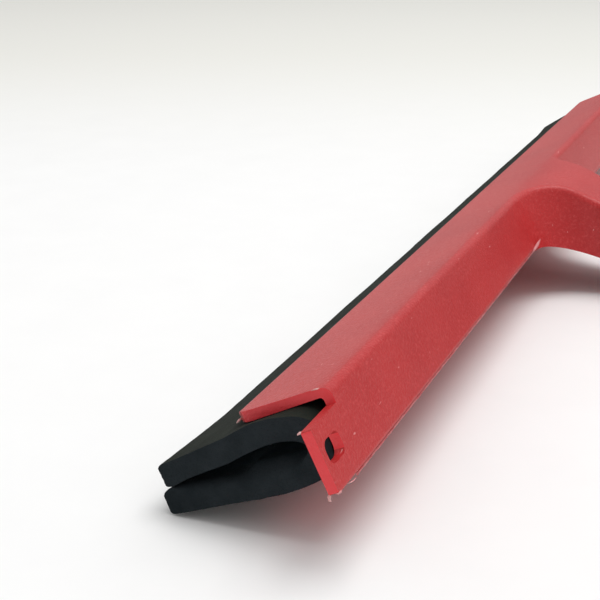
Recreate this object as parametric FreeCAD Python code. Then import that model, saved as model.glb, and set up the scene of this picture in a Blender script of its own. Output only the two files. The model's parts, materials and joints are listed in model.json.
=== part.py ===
import FreeCAD, Part
import os
from math import asin, atan, cos, degrees, hypot, radians, sin, tan
from FreeCAD import Vector

# A hand squeegee: a moulded U-channel head with a handle, and a foam-rubber strip folded into a U.
# Millimetres and degrees. X runs along the head, the lips point to -Y and the handle to +Y, and the
# squeegee lies on a table at z = 0, on its lower lip and the end of its handle.
#
# The head is drawn in a channel frame and then tilted. There x is the same X, "reach" is the distance
# from the inside of the back wall towards the mouth, and "rise" is the height over the middle plane.

# Head
HEAD_LENGTH = 280.0        # the jaws, without the ears
TILT = 26.0                # how far the mouth points down
WALL = 1.7                 # back wall
JAW_REACH = 15.8
HALF_HEIGHT = 6.8          # outside
INNER_BACK = 5.35          # half the gap between the jaws, at the back wall
INNER_MOUTH = 4.95         # the same at the mouth, where the jaws grip
INNER_CORNER = 0.6
JAW_EDGE = 1.5             # rounding of the jaws' front edges, outside
JAW_LIP = 0.3              # the same inside
JAW_CORNER = 3.2           # rounding of the jaws' corners, seen from above
RIDGE_RADIUS = 1.5         # upper edge of the back wall, carried on round the handle
KEEL_RADIUS = 1.2          # lower edge of the back wall

# Ears, which are the back wall carried on past the jaws, and the oblong hole in each
EAR_LENGTH = 9.8
EAR_TOP = 4.0
EAR_BOTTOM = -6.0
EAR_CORNER = 0.4
HOLE_CENTRE = 5.7          # from the jaws' end
HOLE_RISE = -0.6
HOLE_LONG = 5.4
HOLE_HIGH = 3.7
HOLE_CORNER = 1.4

# Foam strip
STRIP_LENGTH = 278.0
STRIP_SHIFT = 3.5          # how far it has crept towards +X
FOAM = 3.6                 # lip thickness
SQUEEZED = 3.5             # the same between the jaws
FIT_GAP = 0.2              # between foam and moulding
FOLD_BACK = 4.9            # outer rounding of the fold
FOLD_HOLLOW = 1.55         # inner rounding of the fold
PIVOT_REACH = 17.8         # where the lips bend
TIP_REACH = 27.2
TIP_EDGE = 0.3
FLARE_LEFT = 1.5           # how much longer both lips are at the strip's -X end
FLARE_LENGTH = 18.0
FLARE_BLEND = 60.0
BEND_GAP = 0.15            # between the fold's arms and the lips' round roots

# The lips sag unequally. The rises are those of a lip's middle plane, and the flare is how much
# longer the lip is at the strip's +X end.
LIPS = {
    "upper": dict(pivot=2.9, tip=1.65, flare=3.9),
    "lower": dict(pivot=-3.55, tip=-3.55, flare=4.9),
}

# Handle. Slopes are how steeply it falls away from the head.
HANDLE_LENGTH = 165.0      # from the inside of the back wall
NECK_HALF = 10.8
NECK_STRAIGHT = 16.0
WAIST_HALF = 12.0
WAIST_AT = 44.0
PALM_HALF = 15.5
PALM_AT = 107.0
END_RADIUS = 13.0
ROOT_RADIUS = 13.5
CROWN_START = 1.4          # reach at which the head's top begins to curve over
CROWN_FRONT = 18.5         # radius of the upper side, up to its highest line
CROWN_BACK = 16.0          # the same behind the highest line, where it turns down
CROWN_SLOPE = 24.0
NECK_RADIUS = 60.0         # hollow curve behind the crown
NECK_SLOPE = 2.5
PALM_RADIUS = 1300.0
BELLY_SLOPE = 18.0         # lower side
BELLY_RADIUS = 150.0
SKIN = 2.4
SIDE = 2.2
RIB = 1.6
RIB_RECESS = 1.2
RIB_START = 28.0
RIB_PITCH = 21.0
RIB_COUNT = 6
HANG_RADIUS = 4.0
HANG_LENGTH = 6.0
HANG_BOSS = 7.2
HANG_DISH = 5.6

HANDLE_SEAM = 20.0         # half the width of the handle's node where it meets the back wall's node
SUNK = 0.9                 # how far a piece is sunk into the one that it is joined to
FAR = 60.0                 # how far cutters reach past what they cut
ON_LINE = 1e-3             # an edge closer than this lies on an outline


def rounded(corners, place):
    """A closed wire through (a, b, radius) corners, with a tangent arc at each that has a radius."""
    edges = []
    joints = []
    for i, (a, b, radius) in enumerate(corners):
        here = Vector(a, b, 0)
        before = Vector(*corners[i - 1][:2], 0)
        after = Vector(*corners[(i + 1) % len(corners)][:2], 0)
        if radius == 0:
            joints.append((here, here))
            continue
        to_before = (before - here).normalize()
        to_after = (after - here).normalize()
        half = to_before.getAngle(to_after) / 2
        setback = radius / tan(half)
        middle = here + (to_before + to_after).normalize() * (radius / sin(half) - radius)
        start = here + to_before * setback
        end = here + to_after * setback
        joints.append((start, end))
        edges.append(Part.Arc(*[place(p.x, p.y) for p in (start, middle, end)]).toShape())
    for i, (_, leave) in enumerate(joints):
        arrive = joints[(i + 1) % len(joints)][0]
        if leave.distanceToPoint(arrive) > ON_LINE:
            edges.append(Part.makeLine(place(leave.x, leave.y), place(arrive.x, arrive.y)))
    return Part.Wire(Part.__sortEdges__(edges))


def prism(wire, direction):
    return Part.Face(wire).extrude(direction)


def tilted(shape):
    """From the channel frame to the resting frame."""
    turned = shape.copy()
    turned.rotate(Vector(0, 0, 0), Vector(1, 0, 0), TILT)
    return turned


def resting(reach, rise):
    """A channel-frame point in the plane x = 0, in the resting frame."""
    tilt = radians(TILT)
    return Vector(0, -reach * cos(tilt) - rise * sin(tilt), -reach * sin(tilt) + rise * cos(tilt))


def beyond(reach):
    """All that lies at least this far towards the mouth, as a block in the resting frame."""
    block = Part.makeBox(2 * HEAD_LENGTH, 2 * FAR, 4 * FAR, Vector(-HEAD_LENGTH, -reach - 2 * FAR, -2 * FAR))
    return tilted(block)


def inner_half(reach):
    """Half the gap between the jaws."""
    return INNER_BACK + (INNER_MOUTH - INNER_BACK) * reach / JAW_REACH


def lip_line(lip):
    """A lip's length and how steeply it falls in the channel frame."""
    fall = lip["pivot"] - lip["tip"]
    out = TIP_REACH - PIVOT_REACH
    return hypot(out, fall), atan(fall / out)


def table():
    """The table's height in the resting frame: one flared end of the lower lip stands on it."""
    lip = LIPS["lower"]
    length, fall = lip_line(lip)
    out = length + lip["flare"] - TIP_EDGE
    down = FOAM / 2 - TIP_EDGE
    reach = PIVOT_REACH + out * cos(fall) - down * sin(fall)
    rise = lip["pivot"] - out * sin(fall) - down * cos(fall)
    return resting(reach, rise).z - TIP_EDGE


# The handle's outline from the side. A circle's centre and a slope give a point of the outline, and
# a negative radius stands for a hollow curve, whose centre is above it.

def at_slope(centre, radius, slope):
    angle = radians(slope)
    return centre + Vector(0, radius * sin(angle), radius * cos(angle))


def slope_arc(centre, radius, first, last):
    return Part.Arc(*[at_slope(centre, radius, s) for s in (first, (first + last) / 2, last)]).toShape()


def crown_edges(inset):
    """The upper side, from where it leaves the upper jaw to the handle's end, sunk by inset."""
    front = at_slope(resting(CROWN_START, HALF_HEIGHT), -CROWN_FRONT, -TILT)
    back = at_slope(front, CROWN_FRONT - CROWN_BACK, 0)
    neck = at_slope(at_slope(back, CROWN_BACK, CROWN_SLOPE), NECK_RADIUS, CROWN_SLOPE)
    palm = at_slope(at_slope(neck, -NECK_RADIUS, NECK_SLOPE), -PALM_RADIUS, NECK_SLOPE)
    end_slope = degrees(asin((HANDLE_LENGTH - palm.y) / (PALM_RADIUS - inset)))
    return [
        slope_arc(front, CROWN_FRONT - inset, -TILT, 0),
        slope_arc(back, CROWN_BACK - inset, 0, CROWN_SLOPE),
        slope_arc(neck, -NECK_RADIUS - inset, CROWN_SLOPE, NECK_SLOPE),
        slope_arc(palm, PALM_RADIUS - inset, NECK_SLOPE, end_slope),
    ]


def belly_edges():
    """The lower side, from the back wall's lower corner to the handle's end on the table."""
    start = resting(-WALL, -HALF_HEIGHT)
    centre_height = table() + BELLY_RADIUS
    fall = radians(BELLY_SLOPE)
    turn_height = centre_height - BELLY_RADIUS * cos(fall)
    turn = Vector(0, start.y + (start.z - turn_height) / tan(fall), turn_height)
    centre = Vector(0, turn.y + BELLY_RADIUS * sin(fall), centre_height)
    return [
        Part.makeLine(start, turn),
        slope_arc(centre, -BELLY_RADIUS, BELLY_SLOPE, 0),
        Part.makeLine(Vector(0, centre.y, table()), Vector(0, HANDLE_LENGTH, table())),
    ]


def last_point(edges):
    return max((v.Point for e in edges for v in e.Vertexes), key=lambda p: p.y)


def chain(points):
    return [Part.makeLine(a, b) for a, b in zip(points, points[1:])]


def side_slab(edges, half_width):
    """A closed side outline, carried out to both sides."""
    wire = Part.Wire(Part.__sortEdges__(edges))
    slab = prism(wire, Vector(2 * half_width, 0, 0))
    slab.translate(Vector(-half_width, 0, 0))
    return slab


def handle_side():
    """Everything between the handle's upper and lower sides."""
    crown = crown_edges(0)
    belly = belly_edges()
    root = [
        resting(CROWN_START, HALF_HEIGHT),
        resting(CROWN_START, HALF_HEIGHT - SUNK),
        resting(-SUNK, HALF_HEIGHT - SUNK),
        resting(-SUNK, -HALF_HEIGHT),
        resting(-WALL, -HALF_HEIGHT),
    ]
    end = [last_point(crown), last_point(belly)]
    return side_slab(crown + chain(end) + belly + chain(root), FAR)


def under_crown():
    """Everything under the upper jaw's plane and the start of the crown, the whole head long."""
    crown = crown_edges(0)[0]
    start = resting(CROWN_START, HALF_HEIGHT)
    end = last_point([crown])
    front = resting(FAR, HALF_HEIGHT)
    corners = [end, end - Vector(0, 0, 2 * FAR), front - Vector(0, 0, 2 * FAR), front, start]
    return side_slab([crown] + chain(corners), HEAD_LENGTH)


def handle_plan(inset):
    """The handle's outline from above, drawn in by inset, carried up and down past the handle."""
    end_centre = HANDLE_LENGTH - END_RADIUS
    radius = END_RADIUS - inset
    floor = table() - FAR
    sides = []
    for side in (-1, 1):
        stations = [(NECK_HALF, NECK_STRAIGHT), (WAIST_HALF, WAIST_AT), (PALM_HALF, PALM_AT),
                    (END_RADIUS, end_centre)]
        points = [Vector(side * (half - inset), y, floor) for half, y in stations]
        curve = Part.BSplineCurve()
        curve.interpolate(Points=points, InitialTangent=Vector(0, 1, 0), FinalTangent=Vector(0, 1, 0))
        start = Vector(side * (NECK_HALF - inset), -FAR, floor)
        sides += [Part.makeLine(start, points[0]), curve.toShape()]
    end = Part.Arc(Vector(-radius, end_centre, floor), Vector(0, end_centre + radius, floor),
                   Vector(radius, end_centre, floor)).toShape()
    back = Part.makeLine(Vector(inset - NECK_HALF, -FAR, floor), Vector(NECK_HALF - inset, -FAR, floor))
    return prism(Part.Wire(Part.__sortEdges__(sides + [end, back])), Vector(0, 0, 2 * FAR))


def root_webs():
    """The concave webs that widen the handle towards the back wall."""
    webs = []
    far_side = NECK_HALF + ROOT_RADIUS
    far_back = WALL + ROOT_RADIUS
    bow = ROOT_RADIUS * (1 - sin(radians(45)))
    for side in (-1, 1):
        def at(x, behind):
            return Vector(side * x, behind, -FAR)
        arc = Part.Arc(at(far_side, WALL), at(NECK_HALF + bow, WALL + bow), at(NECK_HALF, far_back))
        lines = chain([at(NECK_HALF, far_back), at(NECK_HALF - 1, far_back), at(NECK_HALF - 1, SUNK),
                       at(far_side, SUNK), at(far_side, WALL)])
        wire = Part.Wire(Part.__sortEdges__([arc.toShape()] + lines))
        webs.append(tilted(prism(wire, Vector(0, 0, 2 * FAR))))
    return webs


def channel():
    """The U-channel with its keel rounded and its ridge still sharp."""
    half = HEAD_LENGTH / 2
    section = [
        (JAW_REACH, HALF_HEIGHT, JAW_EDGE),
        (-WALL, HALF_HEIGHT, 0),
        (-WALL, -HALF_HEIGHT, KEEL_RADIUS),
        (JAW_REACH, -HALF_HEIGHT, JAW_EDGE),
        (JAW_REACH, -INNER_MOUTH, JAW_LIP),
        (0, -INNER_BACK, INNER_CORNER),
        (0, INNER_BACK, INNER_CORNER),
        (JAW_REACH, INNER_MOUTH, JAW_LIP),
    ]
    wire = rounded(section, lambda reach, rise: Vector(-half, -reach, rise))
    body = prism(wire, Vector(HEAD_LENGTH, 0, 0))
    plan = [(-half, JAW_REACH, JAW_CORNER), (half, JAW_REACH, JAW_CORNER), (half, -FAR, 0), (-half, -FAR, 0)]
    outline = rounded(plan, lambda x, reach: Vector(x, -reach, -FAR))
    body = body.common(prism(outline, Vector(0, 0, 2 * FAR)))
    return tilted(body).common(under_crown())


def ears():
    """Both ears, as one plate that runs through the back wall from end to end."""
    half = HEAD_LENGTH / 2 + EAR_LENGTH
    corners = [(-half, EAR_BOTTOM, EAR_CORNER), (half, EAR_BOTTOM, EAR_CORNER),
               (half, EAR_TOP, EAR_CORNER), (-half, EAR_TOP, EAR_CORNER)]
    plate = prism(rounded(corners, lambda x, rise: Vector(x, 0, rise)), Vector(0, WALL, 0))
    keel = [(0, -HALF_HEIGHT, 0), (-WALL, -HALF_HEIGHT, KEEL_RADIUS), (-WALL, HALF_HEIGHT, 0), (0, HALF_HEIGHT, 0)]
    wall = rounded(keel, lambda reach, rise: Vector(-HEAD_LENGTH, -reach, rise))
    return tilted(plate.common(prism(wall, Vector(2 * HEAD_LENGTH, 0, 0))))


def ear_holes():
    cutters = []
    for side in (-1, 1):
        x = side * (HEAD_LENGTH / 2 + HOLE_CENTRE)
        left = x - HOLE_LONG / 2
        right = x + HOLE_LONG / 2
        low = HOLE_RISE - HOLE_HIGH / 2
        high = HOLE_RISE + HOLE_HIGH / 2
        corners = [(left, low, HOLE_CORNER), (right, low, HOLE_CORNER),
                   (right, high, HOLE_CORNER), (left, high, HOLE_CORNER)]
        outline = rounded(corners, lambda a, b: Vector(a, -FAR / 2, b))
        cutters.append(tilted(prism(outline, Vector(0, FAR, 0))))
    return Part.makeCompound(cutters)


def ridge_edges(body):
    """The edge that runs along the back wall's top, round the webs and round the whole handle."""
    outline = Part.makeCompound(crown_edges(0))
    found = []
    for edge in body.Edges:
        middle = edge.valueAt((edge.FirstParameter + edge.LastParameter) / 2)
        in_plane = Part.Vertex(0, middle.y, middle.z)
        crosses = edge.Curve.TypeId == "Part::GeomLine" and abs(middle.x) < ON_LINE
        at_end = abs(middle.x) > HEAD_LENGTH / 2 - ON_LINE
        if not (crosses or at_end) and outline.distToShape(in_plane)[0] < ON_LINE:
            found.append(edge)
    return found


def handle_blank():
    """The handle before it is cored out, with its webs, sunk a little into the back wall."""
    side = handle_side()
    blank = side.common(handle_plan(0))
    for web in root_webs():
        blank = blank.fuse(side.common(web))
    return blank.removeSplitter()


def hollow(grown):
    """The space under the handle, open at the bottom, and grown into the skin on all sides."""
    crown = crown_edges(SKIN - grown)
    start = min((v.Point for v in crown[0].Vertexes), key=lambda p: p.y)
    end = last_point(crown)
    floor = table() - FAR
    outline = crown + chain([end, Vector(0, end.y, floor), Vector(0, start.y, floor), start])
    return side_slab(outline, FAR).common(handle_plan(SIDE - grown)).cut(beyond(grown - WALL))


def hang_y():
    return HANDLE_LENGTH - END_RADIUS


def ribs():
    """One long rib and several cross ribs, which stop short of the handle's lower edge, and the boss."""
    floor = table() - FAR
    lattice = Part.makeBox(RIB, HANDLE_LENGTH, 2 * FAR, Vector(-RIB / 2, 0, floor))
    for i in range(RIB_COUNT):
        y = RIB_START + i * RIB_PITCH
        lattice = lattice.fuse(Part.makeBox(2 * FAR, RIB, 2 * FAR, Vector(-FAR, y - RIB / 2, floor)))
    raised = handle_side()
    raised.translate(Vector(0, 0, RIB_RECESS))
    boss = Part.makeCylinder(HANG_BOSS, 2 * FAR, Vector(0, hang_y(), floor))
    return lattice.common(raised).fuse(boss.common(handle_side())).common(hollow(SUNK))


def hang_hole():
    """The hanging hole, with a flat dish round its upper end."""
    bottom = Vector(0, hang_y(), table() - FAR)
    dish = Vector(0, hang_y(), table() + HANG_LENGTH)
    hole = Part.makeCylinder(HANG_RADIUS, 2 * FAR, bottom)
    return hole.fuse(Part.makeCylinder(HANG_DISH, FAR, dish))


def moulding():
    body = channel().fuse(handle_blank()).removeSplitter()
    body = body.makeFillet(RIDGE_RADIUS, ridge_edges(body))
    body = body.cut(hollow(0)).fuse(ribs()).cut(hang_hole())
    body = body.fuse(ears()).cut(ear_holes())
    return body.removeSplitter()


def strip_placed(shape):
    placed = tilted(shape)
    placed.translate(Vector(STRIP_SHIFT, 0, 0))
    return placed


def foam_fold():
    """The bend of the strip and its two arms, as far as the mouth."""
    arm_end = PIVOT_REACH - FOAM / 2 - BEND_GAP
    outer_back = inner_half(0) - FIT_GAP
    outer_end = inner_half(arm_end) - FIT_GAP
    hollow_back = outer_back - SQUEEZED
    hollow_end = outer_end - SQUEEZED
    hollow_reach = FIT_GAP + SQUEEZED
    section = [
        (arm_end, outer_end, 0),
        (FIT_GAP, outer_back, FOLD_BACK),
        (FIT_GAP, -outer_back, FOLD_BACK),
        (arm_end, -outer_end, 0),
        (arm_end, -hollow_end, 0),
        (hollow_reach, -hollow_back, FOLD_HOLLOW),
        (hollow_reach, hollow_back, FOLD_HOLLOW),
        (arm_end, hollow_end, 0),
    ]
    wire = rounded(section, lambda reach, rise: Vector(-STRIP_LENGTH / 2, -reach, rise))
    return strip_placed(prism(wire, Vector(STRIP_LENGTH, 0, 0)))


def foam_lip(lip):
    """One lip: a flat plate with a round root, longer at its two ends."""
    half = STRIP_LENGTH / 2
    length, fall = lip_line(lip)
    left = length + FLARE_LEFT
    right = length + lip["flare"]
    thick = FOAM / 2
    section = [(right, thick, TIP_EDGE), (right, -thick, TIP_EDGE), (-thick, -thick, thick),
               (-thick, thick, thick)]
    wire = rounded(section, lambda out, rise: Vector(-half, -out, rise))
    plan = [(-half, -FAR, 0), (-half, left, 0), (FLARE_LENGTH - half, length, FLARE_BLEND),
            (half - FLARE_LENGTH, length, FLARE_BLEND), (half, right, 0), (half, -FAR, 0)]
    outline = rounded(plan, lambda x, out: Vector(x, -out, -FAR))
    plate = prism(wire, Vector(STRIP_LENGTH, 0, 0)).common(prism(outline, Vector(0, 0, 2 * FAR)))
    plate.rotate(Vector(0, 0, 0), Vector(1, 0, 0), degrees(fall))
    plate.translate(Vector(0, -PIVOT_REACH, lip["pivot"]))
    return strip_placed(plate)


def moulding_nodes():
    """The moulding as four nodes, cut where its jaws, its back wall and its handle join each other."""
    whole = moulding()
    corner = Vector(-HANDLE_SEAM, WALL, -4 * FAR)
    handle_zone = tilted(Part.makeBox(2 * HANDLE_SEAM, 4 * FAR, 8 * FAR, corner))
    head = whole.cut(handle_zone)
    mouth_zone = beyond(CROWN_START)
    lower, upper = sorted(head.common(mouth_zone).Solids, key=lambda s: s.CenterOfMass.z)
    return {
        "upper_jaw": upper,
        "lower_jaw": lower,
        "back_wall": head.cut(mouth_zone),
        "handle": whole.common(handle_zone),
    }


pieces = {
    **moulding_nodes(),
    "foam_fold": foam_fold(),
    "upper_foam_lip": foam_lip(LIPS["upper"]),
    "lower_foam_lip": foam_lip(LIPS["lower"]),
}

# The origin is under the middle of the whole squeegee's box, on the table.
front = min(p.BoundBox.YMin for p in pieces.values())
home = Vector(0, -(front + HANDLE_LENGTH) / 2, -table())

os.makedirs("parts", exist_ok=True)
for name, piece in pieces.items():
    piece.translate(home)
    piece.exportStep(f"parts/{name}.step")
    box = piece.BoundBox
    print(name, "solids", len(piece.Solids), "valid", piece.isValid(), "volume", round(piece.Volume, 1),
          "x", round(box.XMin, 2), round(box.XMax, 2), "y", round(box.YMin, 2), round(box.YMax, 2),
          "z", round(box.ZMin, 2), round(box.ZMax, 2))
print("channel origin", home)
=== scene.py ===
import json
import math
import bmesh
import bpy
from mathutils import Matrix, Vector, noise


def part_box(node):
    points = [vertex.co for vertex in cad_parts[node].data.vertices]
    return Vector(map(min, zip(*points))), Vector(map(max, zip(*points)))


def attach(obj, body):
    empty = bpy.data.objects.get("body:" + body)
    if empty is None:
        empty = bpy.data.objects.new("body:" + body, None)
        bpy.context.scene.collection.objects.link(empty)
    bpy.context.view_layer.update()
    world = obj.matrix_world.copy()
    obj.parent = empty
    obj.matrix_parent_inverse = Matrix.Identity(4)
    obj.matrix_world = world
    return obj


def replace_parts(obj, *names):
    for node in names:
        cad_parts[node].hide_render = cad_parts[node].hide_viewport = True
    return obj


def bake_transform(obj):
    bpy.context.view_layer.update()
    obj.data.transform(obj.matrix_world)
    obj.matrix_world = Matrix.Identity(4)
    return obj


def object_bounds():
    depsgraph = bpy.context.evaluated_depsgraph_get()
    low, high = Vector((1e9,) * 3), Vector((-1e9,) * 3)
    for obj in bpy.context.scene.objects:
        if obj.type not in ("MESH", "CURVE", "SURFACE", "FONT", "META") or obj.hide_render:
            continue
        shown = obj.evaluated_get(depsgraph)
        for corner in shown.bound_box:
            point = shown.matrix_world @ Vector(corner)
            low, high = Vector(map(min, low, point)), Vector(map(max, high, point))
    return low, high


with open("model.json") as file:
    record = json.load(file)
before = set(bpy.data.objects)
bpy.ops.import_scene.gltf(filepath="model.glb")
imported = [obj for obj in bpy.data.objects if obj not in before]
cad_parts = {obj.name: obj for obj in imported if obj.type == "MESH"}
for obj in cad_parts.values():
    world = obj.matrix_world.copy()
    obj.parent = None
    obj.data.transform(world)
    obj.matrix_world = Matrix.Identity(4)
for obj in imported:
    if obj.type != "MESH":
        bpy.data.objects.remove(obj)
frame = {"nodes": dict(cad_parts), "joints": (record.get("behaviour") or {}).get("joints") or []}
cad_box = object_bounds()

MM = 0.001

# The channel frame of the CAD model: x along the head, reach from the channel's bottom towards its
# mouth, rise over its middle plane. The two lip hinges give its directions and its place.
HINGE_REACH = 17.8
LOWER_HINGE_RISE = -3.55
hinges = {j["name"]: Vector(j["pos_m"]) for j in frame["joints"] if "pos_m" in j}
lower_hinge = hinges["lower_lip_flex"]
upper_hinge = hinges["upper_lip_flex"]
RISE = (upper_hinge - lower_hinge).normalized()
REACH = Vector((1, 0, 0)).cross(RISE)
ORIGIN = (Vector((0, lower_hinge.y, lower_hinge.z))
          - REACH * (HINGE_REACH * MM) - RISE * (LOWER_HINGE_RISE * MM))


def at(x, reach, rise):
    """The place in the shared frame, in metres, of a point of the channel frame in millimetres."""
    return ORIGIN + Vector((x * MM, 0, 0)) + REACH * (reach * MM) + RISE * (rise * MM)


def smooth(t):
    """0 below 0, 1 above 1, and an S-curve between them."""
    t = max(0.0, min(1.0, t))
    return t * t * (3 - 2 * t)


def mesh_object(name, mesh, *materials):
    """A new object made from a bmesh, which is freed."""
    data = bpy.data.meshes.new(name)
    mesh.to_mesh(data)
    mesh.free()
    for material in materials:
        data.materials.append(material)
    piece = bpy.data.objects.new(name, data)
    bpy.context.collection.objects.link(piece)
    return piece


# ---------------------------------------------------------------------------------------- camera
CAMERA_PLACE = (288.15, 56.23, 76.81)     # mm from the channel frame's origin
CAMERA_AIM = (-0.868, -0.364, -0.337)
LENS, SENSOR = 72, 36                     # mm

camera = bpy.data.cameras.new("camera")
camera.lens = LENS
camera.sensor_width = SENSOR
camera.clip_start = 0.01
camera_object = bpy.data.objects.new("camera", camera)
bpy.context.collection.objects.link(camera_object)
camera_object.location = ORIGIN + Vector(CAMERA_PLACE) * MM
camera_object.rotation_mode = "QUATERNION"
camera_object.rotation_quaternion = Vector(CAMERA_AIM).to_track_quat("-Z", "Y")
bpy.context.scene.camera = camera_object
bpy.context.scene.view_settings.view_transform = "Standard"


# ------------------------------------------------------------------------------------- materials
HOLLOW_PAINTED_LIGHT_SPAN = (0.1412, 0.1340)    # metres from the middle where the painted fill light inside the fold starts and where it is full
CUT_FACES_FROM = 130.0              # mm: the head's cut faces lie further than this from the middle
CUT_FACE_TURN = 0.85                # a cut face's normal has at least this much X in it
PAPER_DIRECTION = math.radians(157)     # turns X to the direction in which the paper runs back
PAPER_SHADE_SPAN = (0.10, 0.44)         # metres along it where the painted shade starts and where it is full


class Nodes:
    """Builds one node material around a Principled shader."""

    def __init__(self, name):
        self.material = bpy.data.materials.new(name)
        self.material.use_nodes = True
        self.tree = self.material.node_tree
        self.tree.nodes.clear()
        output = self.add("ShaderNodeOutputMaterial")
        self.shader = self.add("ShaderNodeBsdfPrincipled")
        self.link(self.shader.outputs[0], output.inputs["Surface"])
        self.place = self.add("ShaderNodeTexCoord").outputs["Object"]

    def add(self, kind, **settings):
        node = self.tree.nodes.new(kind)
        for key, value in settings.items():
            setattr(node, key, value)
        return node

    def link(self, source, target):
        self.tree.links.new(source, target)

    def noise(self, scale, detail=2.0, roughness=0.5, stretch=(1, 1, 1)):
        mapping = self.add("ShaderNodeMapping")
        mapping.inputs["Scale"].default_value = stretch
        self.link(self.place, mapping.inputs["Vector"])
        node = self.add("ShaderNodeTexNoise")
        node.inputs["Scale"].default_value = scale
        node.inputs["Detail"].default_value = detail
        node.inputs["Roughness"].default_value = roughness
        self.link(mapping.outputs[0], node.inputs["Vector"])
        return node.outputs["Fac"]

    def cells(self, scale):
        node = self.add("ShaderNodeTexVoronoi")
        node.inputs["Scale"].default_value = scale
        self.link(self.place, node.inputs["Vector"])
        return node.outputs["Distance"]

    def math(self, operation, a, b=None):
        """One operation on a socket, and on a second socket or a number."""
        node = self.add("ShaderNodeMath", operation=operation)
        self.link(a, node.inputs[0])
        if isinstance(b, float):
            node.inputs[1].default_value = b
        elif b is not None:
            self.link(b, node.inputs[1])
        return node.outputs[0]

    def axis_size(self, vector):
        """The size of a vector's X part."""
        node = self.add("ShaderNodeSeparateXYZ")
        self.link(vector, node.inputs[0])
        return self.math("ABSOLUTE", node.outputs["X"])

    def painted_glow_on_cut_faces(self):
        """1 on the cut faces at both ends of the head and 0 elsewhere: the mask of a painted glow, which
        stands in for light coming through the plastic.
        """
        outward = self.axis_size(self.add("ShaderNodeTexCoord").outputs["Normal"])
        near_end = self.math("GREATER_THAN", self.axis_size(self.place), CUT_FACES_FROM * MM)
        return self.math("MULTIPLY", self.math("GREATER_THAN", outward, CUT_FACE_TURN), near_end)

    def ramp(self, factor, stops):
        """Grey values at (position, value) stops."""
        node = self.add("ShaderNodeValToRGB")
        ramp = node.color_ramp
        while len(ramp.elements) < len(stops):
            ramp.elements.new(0.5)
        for element, (position, value) in zip(ramp.elements, stops):
            element.position = position
            element.color = (value, value, value, 1)
        self.link(factor, node.inputs["Fac"])
        return node.outputs["Color"]

    def mix(self, factor, a, b):
        """A mix of two colours, each given as a socket or as three numbers."""
        node = self.add("ShaderNodeMix", data_type="RGBA")
        for value, socket in ((factor, node.inputs[0]), (a, node.inputs[6]), (b, node.inputs[7])):
            if isinstance(value, tuple):
                socket.default_value = (*value, 1)
            else:
                self.link(value, socket)
        return node.outputs[2]

    def bump(self, height, strength, distance, base=None):
        node = self.add("ShaderNodeBump")
        node.inputs["Strength"].default_value = strength
        node.inputs["Distance"].default_value = distance
        self.link(height, node.inputs["Height"])
        if base is not None:
            self.link(base, node.inputs["Normal"])
        return node.outputs["Normal"]


def red_plastic():
    """Glossy moulded plastic, cloudy, with fine flecks and short scratches, and a painted glow on its cut
    faces.
    """
    n = Nodes("red_plastic")
    cloud = n.noise(38, 3.0, 0.55)
    cloud = n.ramp(cloud, [(0.35, 0.0), (0.65, 1.0)])
    colour = n.mix(cloud, (0.46, 0.016, 0.018), (0.52, 0.023, 0.024))
    fleck = n.ramp(n.noise(1500, 3.0, 0.7), [(0.50, 0.0), (0.72, 0.85)])
    colour = n.mix(fleck, colour, (0.60, 0.058, 0.058))
    scratch = n.ramp(n.noise(1500, 1.0, 0.5, (0.22, 1.0, 0.6)), [(0.765, 0.0), (0.795, 1.0)])
    colour = n.mix(scratch, colour, (0.70, 0.24, 0.24))
    # Painted glow: the cut faces at both ends are painted a brighter red, standing in for light that comes
    # through the thin plastic.
    colour = n.mix(n.painted_glow_on_cut_faces(), colour, (0.88, 0.045, 0.055))
    n.link(colour, n.shader.inputs["Base Color"])
    grain = n.noise(2400, 3.0, 0.6)
    n.link(n.ramp(grain, [(0.3, 0.42), (0.7, 0.54)]), n.shader.inputs["Roughness"])
    normal = n.bump(grain, 0.75, 0.00022)
    normal = n.bump(n.noise(70, 2.0, 0.5), 0.22, 0.0006, normal)
    n.link(normal, n.shader.inputs["Normal"])
    n.shader.inputs["IOR"].default_value = 1.40
    n.shader.inputs["Coat Weight"].default_value = 0.26
    n.shader.inputs["Coat Roughness"].default_value = 0.24
    return n.material


def burr_plastic(name, low, high):
    """Pale plastic: stretched pale along an edge, or painted pale as a highlight."""
    n = Nodes(name)
    colour = n.mix(n.ramp(n.noise(700, 2.0, 0.5), [(0.35, 0.0), (0.65, 1.0)]), low, high)
    n.link(colour, n.shader.inputs["Base Color"])
    n.shader.inputs["Roughness"].default_value = 0.55
    n.link(n.bump(n.noise(3000, 2.0, 0.5), 0.3, 0.00005), n.shader.inputs["Normal"])
    return n.material


def foam_rubber(name, dark, light, cell_depth, hollow_painted_light=None):
    """Closed-cell foam. Away from the strip's ends the fold's inside can be painted lighter: painted fill
    light in its shade.
    """
    n = Nodes(name)
    cloud = n.noise(160, 4.0, 0.65)
    colour = n.mix(n.ramp(cloud, [(0.35, 0.0), (0.65, 1.0)]), dark, light)
    pits = n.cells(3200)
    colour = n.mix(n.ramp(pits, [(0.0, 1.0), (0.28, 0.0)]), colour, tuple(0.45 * c for c in dark))
    if hollow_painted_light:
        # Painted fill light: away from the strip's ends, deep in the fold's shade, the inside is painted
        # lighter.
        fill_light_share = n.add("ShaderNodeMapRange", interpolation_type="SMOOTHSTEP")
        fill_light_share.inputs["From Min"].default_value, fill_light_share.inputs["From Max"].default_value = HOLLOW_PAINTED_LIGHT_SPAN
        n.link(n.axis_size(n.place), fill_light_share.inputs["Value"])
        colour = n.mix(fill_light_share.outputs["Result"], colour, hollow_painted_light)
    n.link(colour, n.shader.inputs["Base Color"])
    n.shader.inputs["Roughness"].default_value = 0.88
    n.shader.inputs["Specular IOR Level"].default_value = 0.12
    normal = n.bump(pits, 0.45, cell_depth)
    normal = n.bump(n.noise(800, 3.0, 0.6), 0.40, 0.00018, normal)
    n.link(normal, n.shader.inputs["Normal"])
    return n.material


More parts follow.
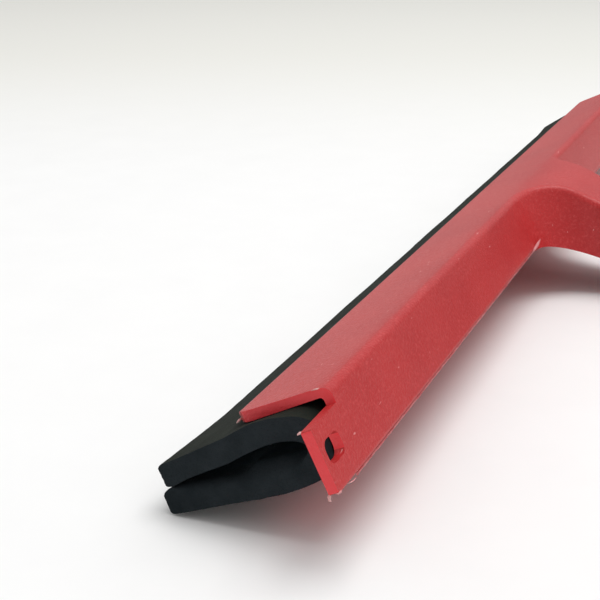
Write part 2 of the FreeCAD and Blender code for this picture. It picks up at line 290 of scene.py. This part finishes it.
def floor_paper():
    """White paper, with painted shade that turns it a little darker and warmer towards the back of the set.
    """
    n = Nodes("floor_paper")
    turn = n.add("ShaderNodeMapping")
    turn.inputs["Rotation"].default_value = (0, 0, PAPER_DIRECTION)
    n.link(n.place, turn.inputs["Vector"])
    split = n.add("ShaderNodeSeparateXYZ")
    n.link(turn.outputs["Vector"], split.inputs[0])
    back = n.add("ShaderNodeMapRange", interpolation_type="SMOOTHSTEP")
    back.inputs["From Min"].default_value, back.inputs["From Max"].default_value = PAPER_SHADE_SPAN
    n.link(split.outputs["X"], back.inputs["Value"])
    fibres = n.ramp(n.noise(60, 3.0, 0.6), [(0.3, 0.0), (0.7, 1.0)])
    paper = n.mix(fibres, (0.890, 0.890, 0.885), (0.905, 0.905, 0.90))
    # Painted shade: the paper is painted darker and warmer towards the back of the set.
    n.link(n.mix(back.outputs["Result"], paper, (0.84, 0.835, 0.79)), n.shader.inputs["Base Color"])
    n.shader.inputs["Roughness"].default_value = 0.9
    return n.material


RED = red_plastic()
# Pale burrs, and a painted highlight on the ridge's end.
BURR_AND_GLINT = burr_plastic("burr_plastic", (0.66, 0.25, 0.25), (0.82, 0.52, 0.49))
FLECK = burr_plastic("fleck_plastic", (0.58, 0.14, 0.15), (0.72, 0.33, 0.33))
FLASH = burr_plastic("flash_plastic", (0.52, 0.10, 0.11), (0.62, 0.22, 0.22))
CUT_COLOURS = (0.012, 0.017, 0.020), (0.022, 0.028, 0.032)
FOAM_SKIN = foam_rubber("foam_skin", (0.012, 0.015, 0.012), (0.020, 0.024, 0.019), 0.00008)
FOAM_CUT = foam_rubber("foam_cut", *CUT_COLOURS, 0.00015)
# The inside of the fold is painted lighter away from the strip's ends, as painted fill light in its shade.
FOAM_INSIDE = foam_rubber("foam_inside", *CUT_COLOURS, 0.00015, hollow_painted_light=(0.075, 0.110, 0.126))

for name in ("upper_jaw", "lower_jaw", "back_wall", "handle"):
    for material_slot in frame["nodes"][name].material_slots:
        material_slot.material = RED


# ------------------------------------------------------------------------------------ foam strip
# Each half of the strip runs from the middle of the fold, along its arm, to the tip of its lip. Its
# section is given by (reach, rise) points of its outer and its inner surface, once where the jaws
# hold it and once at the free cut end, where it swells and sags. Both lists match point by point.
HELD = {
    "upper": (
        [(0.15, 0.0), (0.85, 2.6), (2.7, 4.4), (5.25, 5.08), (10.5, 4.95), (15.0, 4.78), (16.3, 4.84),
         (18.2, 4.92), (21.0, 4.55), (24.5, 3.95), (26.4, 3.60), (26.95, 3.48), (27.15, 3.2)],
        [(3.75, 0.0), (4.2, 1.1), (5.0, 1.55), (7.0, 1.58), (10.5, 1.45), (15.0, 1.30), (16.3, 1.22),
         (18.2, 1.00), (21.0, 0.50), (24.5, -0.08), (26.1, -0.32), (26.75, -0.36), (27.0, -0.15)],
    ),
    "lower": (
        [(0.15, 0.0), (0.85, -2.6), (2.7, -4.4), (5.25, -5.08), (10.5, -4.95), (15.0, -4.78), (16.3, -4.92),
         (18.2, -5.15), (21.0, -5.35), (24.5, -5.42), (26.4, -5.38), (26.95, -5.28), (27.2, -5.0)],
        [(3.75, 0.0), (4.2, -1.1), (5.0, -1.55), (7.0, -1.58), (10.5, -1.45), (15.0, -1.30), (16.3, -1.30),
         (18.2, -1.35), (21.0, -1.40), (24.5, -1.30), (26.1, -1.12), (26.8, -1.14), (27.1, -1.4)],
    ),
}
FREE = {
    "upper": (
        [(0.45, -0.6), (0.95, 1.7), (2.5, 3.6), (5.3, 4.75), (10.3, 5.38), (14.4, 4.95), (16.6, 4.55),
         (18.5, 4.30), (22.5, 3.90), (27.0, 3.45), (29.7, 3.28), (30.45, 3.08), (30.75, 2.7)],
        [(4.3, -0.3), (4.9, 0.35), (6.2, 0.95), (8.2, 1.35), (10.8, 1.45), (14.4, 1.08), (16.6, 0.72),
         (18.5, 0.40), (22.5, 0.15), (26.5, -0.15), (29.2, -0.62), (30.3, -0.60), (30.8, -0.3)],
    ),
    "lower": (
        [(0.45, -0.6), (0.95, -3.0), (2.5, -4.9), (5.0, -6.0), (10.3, -6.55), (14.4, -6.42), (16.6, -6.28),
         (18.5, -6.10), (22.5, -5.78), (28.0, -5.40), (31.0, -5.18), (31.9, -4.95), (32.2, -4.5)],
        [(4.3, -0.3), (4.7, -1.3), (5.9, -1.95), (8.2, -2.30), (10.8, -2.48), (14.4, -2.58), (16.6, -2.50),
         (18.5, -2.35), (22.5, -1.93), (27.0, -1.15), (29.7, -0.80), (31.2, -1.05), (32.1, -1.75)],
    ),
}
MOUTH = 15.8               # reach of the jaws' front edges
TIP = 27.2                 # reach of the lips
CURVE_STEPS = 4            # between two points of a section
LAYERS = 6                 # of quads through the foam's thickness
SHARP = math.radians(38)   # edges with a larger angle stay sharp

# Past the jaws' end the strip is free all over; near its ends the lips are free in front of the jaws.
FREE_START, FREE_OVER = -0.3, 2.4       # from the jaws' end, along the strip
LIP_START, LIP_OVER = -0.6, 2.2         # from the mouth, along the reach
FLARE_LENGTH, FLARE_CURVE = 18.0, 1.2   # from the strip's ends, and the power it grows with
LEFT_FLARE = 1.5           # how much further the lips reach at the left end

# The lower half's inner edge is rounded at the right cut face, except near the fold and the lip.
EDGE_ROUNDING = 1.9
ROUNDED_FROM, ROUNDED_TO, ROUNDING_FADE = 4, 23.5, 3

# Unevenness: heights in millimetres, and noise steps per millimetre.
LONG_WAVE, LONG_STEP = 0.13, 0.05
SHORT_WAVE, SHORT_STEP = 0.05, 0.31
WAVE_RISE = 0.4            # share of the wave that lifts a lip
CUT_ROUGHNESS, CUT_GRAIN = 0.09, 0.05
SURFACE_ROUGHNESS = 0.035
EDGE_RAGGEDNESS = 0.06
ROUGH_STEP = 1.7

foam_low, foam_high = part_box("foam_fold")
STRIP_LEFT = foam_low.x / MM
STRIP_RIGHT = foam_high.x / MM
JAW_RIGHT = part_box("upper_jaw")[1].x / MM


def curve_through(points, steps):
    """A smooth line through the points, with this many steps between each two of them."""
    padded = [points[0]] + list(points) + [points[-1]]
    line = []
    for p0, p1, p2, p3 in zip(padded, padded[1:], padded[2:], padded[3:]):
        for i in range(steps):
            t = i / steps
            line.append(tuple(
                0.5 * (2 * b + (c - a) * t + (2 * a - 5 * b + 4 * c - d) * t * t
                       + (3 * b - a - 3 * c + d) * t ** 3)
                for a, b, c, d in zip(p0, p1, p2, p3)))
    line.append(tuple(points[-1]))
    return line


def station_marks():
    """Places along the strip: close together at its ends, wider apart between them."""
    marks = [0.0, 0.25, 0.6, 1.0, 1.4, 1.8, 2.2, 2.6, 3.0, 3.6, 4.3, 5.0]
    marks += [5.0 + i for i in range(1, 26)]
    marks += [30.0 + 4 * i for i in range(1, 28)]
    half = [m for m in marks if m < (STRIP_RIGHT - STRIP_LEFT) / 2 - 1]
    middle = (STRIP_LEFT + STRIP_RIGHT) / 2
    return [STRIP_LEFT + m for m in half] + [middle] + [STRIP_RIGHT - m for m in reversed(half)]


def strip_section(x, name):
    """The outer and the inner line of one half of the strip at this place along it."""
    past_jaw = smooth((x - JAW_RIGHT - FREE_START) / FREE_OVER)
    near_right = max(0.0, 1 - (STRIP_RIGHT - x) / FLARE_LENGTH) ** FLARE_CURVE
    near_left = max(0.0, 1 - (x - STRIP_LEFT) / FLARE_LENGTH) ** FLARE_CURVE
    phase = 0.0 if name == "upper" else 7.3
    from_end = min(STRIP_RIGHT - x, EDGE_ROUNDING) if name == "lower" else EDGE_ROUNDING
    worn = EDGE_ROUNDING - math.sqrt(EDGE_ROUNDING ** 2 - (EDGE_ROUNDING - from_end) ** 2)
    wave = (LONG_WAVE * noise.noise(Vector((x * LONG_STEP, phase, 0)))
            + SHORT_WAVE * noise.noise(Vector((x * SHORT_STEP, phase, 4))))
    lines = []
    for held, free in zip(HELD[name], FREE[name]):
        points = []
        inside = held is HELD[name][1]
        for (a0, b0), (a1, b1) in zip(held, free):
            outside = smooth((a0 - MOUTH - LIP_START) / LIP_OVER)
            weight = past_jaw + (near_right - past_jaw) * outside
            lip = max(0.0, (a0 - MOUTH) / (TIP - MOUTH))
            reach = a0 + (a1 - a0) * weight + lip * (wave + LEFT_FLARE * near_left)
            rise = b0 + (b1 - b0) * weight + WAVE_RISE * wave * lip
            if inside:
                rise -= (worn * smooth((a0 - ROUNDED_FROM) / ROUNDING_FADE)
                         * (1 - smooth((a0 - ROUNDED_TO) / ROUNDING_FADE)))
            points.append((reach, rise))
        lines.append(curve_through(points, CURVE_STEPS))
    return lines


def foam_half(name):
    """One half of the strip as a closed mesh, with materials for its skin, its cuts and its inside."""
    side = 1 if name == "upper" else -1
    marks = station_marks()
    last = len(marks) - 1
    sections = [strip_section(x, name) for x in marks]
    count = len(sections[0][0])
    mesh = bmesh.new()
    verts = {}

    def vert(i, k, j):
        key = (i, k, j)
        if key not in verts:
            (a0, b0), (a1, b1) = sections[i][0][j], sections[i][1][j]
            t = k / LAYERS
            a, b, x = a0 + (a1 - a0) * t, b0 + (b1 - b0) * t, marks[i]
            rough = Vector((x * ROUGH_STEP, a * ROUGH_STEP, b * ROUGH_STEP + side))
            if i in (0, last):
                x += CUT_ROUGHNESS * noise.noise(rough) + CUT_GRAIN * noise.noise(rough * 3)
            if a > MOUTH + 1:
                b += SURFACE_ROUGHNESS * noise.noise(rough)
                a += EDGE_RAGGEDNESS * noise.noise(rough * 1.3) * (1 if j == count - 1 else 0.2)
            verts[key] = mesh.verts.new(at(x, a, b))
        return verts[key]

    def quad(material, *keys):
        face = mesh.faces.new([vert(*k) for k in (keys if side > 0 else reversed(keys))])
        face.smooth = True
        face.material_index = material

    skin, cut, inside = 0, 1, 2
    for i in range(last):
        for j in range(count - 1):
            quad(skin, (i, 0, j), (i, 0, j + 1), (i + 1, 0, j + 1), (i + 1, 0, j))
            quad(inside, (i, LAYERS, j + 1), (i, LAYERS, j), (i + 1, LAYERS, j), (i + 1, LAYERS, j + 1))
        for k in range(LAYERS):
            quad(cut, (i, k, count - 1), (i, k + 1, count - 1),
                 (i + 1, k + 1, count - 1), (i + 1, k, count - 1))
            quad(cut, (i, k + 1, 0), (i, k, 0), (i + 1, k, 0), (i + 1, k + 1, 0))
    for k in range(LAYERS):
        for j in range(count - 1):
            quad(cut, (0, k, j), (0, k + 1, j), (0, k + 1, j + 1), (0, k, j + 1))
            quad(cut, (last, k + 1, j), (last, k, j), (last, k, j + 1), (last, k + 1, j + 1))
    mesh.normal_update()
    for edge in mesh.edges:
        if edge.calc_face_angle(0) > SHARP:
            edge.smooth = False
    piece = mesh_object(f"foam_strip_{name}", mesh, FOAM_SKIN, FOAM_CUT, FOAM_INSIDE)
    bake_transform(piece)
    return piece


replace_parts(foam_half("upper"), "upper_foam_lip", "foam_fold")
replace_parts(foam_half("lower"), "lower_foam_lip", "foam_fold")


# ------------------------------------------------------------------------- burrs and mould flash
THREAD_SIDES = 6
THREAD_UNEVENNESS = 0.35
ASKEW = Vector((0.31, 0.82, -0.48))     # not along any thread, so that it gives them a cross direction


def thread(name, line, radii, material):
    """A thin irregular thread of plastic through (x, reach, rise) points, with a radius at each."""
    mesh = bmesh.new()
    rings = []
    for i, (point, radius) in enumerate(zip(line, radii)):
        here = at(*point)
        ahead = (at(*line[min(i + 1, len(line) - 1)]) - at(*line[max(i - 1, 0)])).normalized()
        across = ahead.cross(ASKEW).normalized()
        up = ahead.cross(across)
        ring = []
        for k in range(THREAD_SIDES):
            angle = 2 * math.pi * k / THREAD_SIDES
            uneven = noise.noise(here / MM * 1.9 + Vector((k * 1.7, 0, 0)))
            size = radius * MM * (1 + THREAD_UNEVENNESS * uneven)
            ring.append(mesh.verts.new(here + (across * math.cos(angle) + up * math.sin(angle)) * size))
        rings.append(ring)
    for low, high in zip(rings, rings[1:]):
        for k in range(THREAD_SIDES):
            after = (k + 1) % THREAD_SIDES
            mesh.faces.new((low[k], low[after], high[after], high[k])).smooth = True
    mesh.faces.new(list(reversed(rings[0])))
    mesh.faces.new(rings[-1])
    bmesh.ops.recalc_face_normals(mesh, faces=mesh.faces)
    piece = mesh_object(name, mesh, material)
    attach(piece, "squeegee")


# Each burr, and the pale thread that paints a highlight on the ridge's end, hangs on a cut corner. It has a
# line, from its root to its tip, and radii. Its x counts from the ear's end or from the jaws' end.
EAR_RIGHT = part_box("back_wall")[1].x / MM
EAR_BURRS = {
    "ear_front_top": ([(-0.5, 0.0, 3.75), (-0.1, 0.15, 3.92), (0.08, 0.38, 3.90), (0.12, 0.55, 3.8)],
                      [0.20, 0.18, 0.13, 0.04]),
    "ear_front_bottom": ([(-0.3, 0.0, -5.8), (0.0, 0.05, -6.1), (0.15, 0.10, -6.45), (0.05, 0.0, -6.75)],
                         [0.24, 0.30, 0.26, 0.10]),
    "ear_back_bottom": ([(0.1, -1.3, -5.95), (-0.1, -1.6, -5.95), (-0.5, -1.78, -5.88), (-0.9, -1.72, -5.9)],
                        [0.08, 0.17, 0.15, 0.05]),
    "ear_bottom_curl": ([(-3.2, -1.75, -6.0), (-4.0, -1.85, -6.2), (-5.0, -1.80, -6.4), (-6.2, -1.7, -6.5)],
                        [0.03, 0.08, 0.10, 0.03]),
}
JAW_BURRS = {
    "jaw_corner": ([(-1.7, 15.4, 5.45), (-1.3, 15.65, 5.35), (-1.0, 15.9, 5.25), (-0.9, 16.1, 5.15)],
                   [0.16, 0.20, 0.15, 0.05]),
    # A pale thread on the ridge's end: a painted highlight where the corner catches the light.
    "ridge_glint": ([(0.0, 1.3, 6.75), (0.0, 0.7, 6.80), (-0.1, 0.1, 6.72), (-0.3, -0.4, 6.55)],
                   [0.04, 0.10, 0.11, 0.04]),
}
for end, burrs in ((EAR_RIGHT, EAR_BURRS), (JAW_RIGHT, JAW_BURRS)):
    for name, (line, radii) in burrs.items():
        for side, where in ((1, "right"), (-1, "left")):
            placed = [(side * (end + x), reach, rise) for x, reach, rise in line]
            thread(f"burr_{name}_{where}", placed, radii, BURR_AND_GLINT)

# Flash left by the mould runs along the back wall's lower edge, from the handle to each ear.
FLASH_START = 23.5
FLASH_LENGTH = JAW_RIGHT + 2.0 - FLASH_START
FLASH_STEPS = 90
FLASH_REACH, FLASH_RISE = -1.12, -6.58
FLASH_RADIUS = 0.19
for side, where in ((1, "right"), (-1, "left")):
    line, radii = [], []
    for i in range(FLASH_STEPS + 1):
        x = FLASH_START + FLASH_LENGTH * i / FLASH_STEPS
        shake = noise.noise(Vector((x * 0.35, side * 5.0, 1.0)))
        line.append((side * x, FLASH_REACH + 0.04 * shake, FLASH_RISE + 0.05 * shake))
        radii.append(FLASH_RADIUS + 0.07 * noise.noise(Vector((x * 0.8, side * 3.0, 2.0))))
    thread(f"mould_flash_{where}", line, radii, FLASH)
    # A pale fleck lies where the flash meets the handle's root.
    fleck = [(side * (FLASH_START + x), reach, rise) for x, reach, rise in
             ((3.4, -1.30, -6.45), (1.8, -1.75, -6.15), (0.2, -2.2, -5.7), (-1.4, -2.9, -5.0))]
    thread(f"root_fleck_{where}", fleck, [0.10, 0.34, 0.42, 0.10], FLECK)


# --------------------------------------------------------------------------------- floor, lights
FLOOR_HALF = 4.0
floor_mesh = bmesh.new()
bmesh.ops.create_grid(floor_mesh, x_segments=1, y_segments=1, size=FLOOR_HALF)
floor = mesh_object("floor", floor_mesh, floor_paper())
floor.location.z = cad_box[0].z

ROOM_SIDES = (0.80, 0.50)     # brightness of the room at the left end and at the right end
ROOM_FOOT = (0.30, 1.0)       # share of it at table height, and from ROOM_TOP on
ROOM_TOP = 0.55
world = bpy.data.worlds.new("world")
bpy.context.scene.world = world
world.use_nodes = True
room = world.node_tree
split = room.nodes.new("ShaderNodeSeparateXYZ")
room.links.new(room.nodes.new("ShaderNodeTexCoord").outputs["Generated"], split.inputs[0])


def room_shade(axis, low, high, values):
    """Brightness that changes along one axis of the direction, between low and high."""
    node = room.nodes.new("ShaderNodeMapRange")
    node.inputs["From Min"].default_value, node.inputs["From Max"].default_value = low, high
    node.inputs["To Min"].default_value, node.inputs["To Max"].default_value = values
    room.links.new(split.outputs[axis], node.inputs["Value"])
    return node.outputs["Result"]


product = room.nodes.new("ShaderNodeMath")
product.operation = "MULTIPLY"
room.links.new(room_shade("X", -0.8, 0.8, ROOM_SIDES), product.inputs[0])
room.links.new(room_shade("Z", 0.0, ROOM_TOP, ROOM_FOOT), product.inputs[1])
background = room.nodes["Background"]
background.inputs["Strength"].default_value = 1.0
room.links.new(product.outputs[0], background.inputs["Color"])


# One softbox hangs almost straight over the head.
KEY_PLACE = Vector((-0.04, 0.12, 1.10))
KEY_TARGET = Vector((0.03, -0.05, 0))
KEY_SIZE = (0.65, 0.80)
KEY_POWER = 7.7
key = bpy.data.lights.new("key", "AREA")
key.shape = "RECTANGLE"
key.size, key.size_y = KEY_SIZE
key.energy = KEY_POWER
lamp = bpy.data.objects.new("key", key)
lamp.location = KEY_PLACE
lamp.rotation_mode = "QUATERNION"
lamp.rotation_quaternion = (KEY_TARGET - KEY_PLACE).to_track_quat("-Z", "Y")
bpy.context.collection.objects.link(lamp)
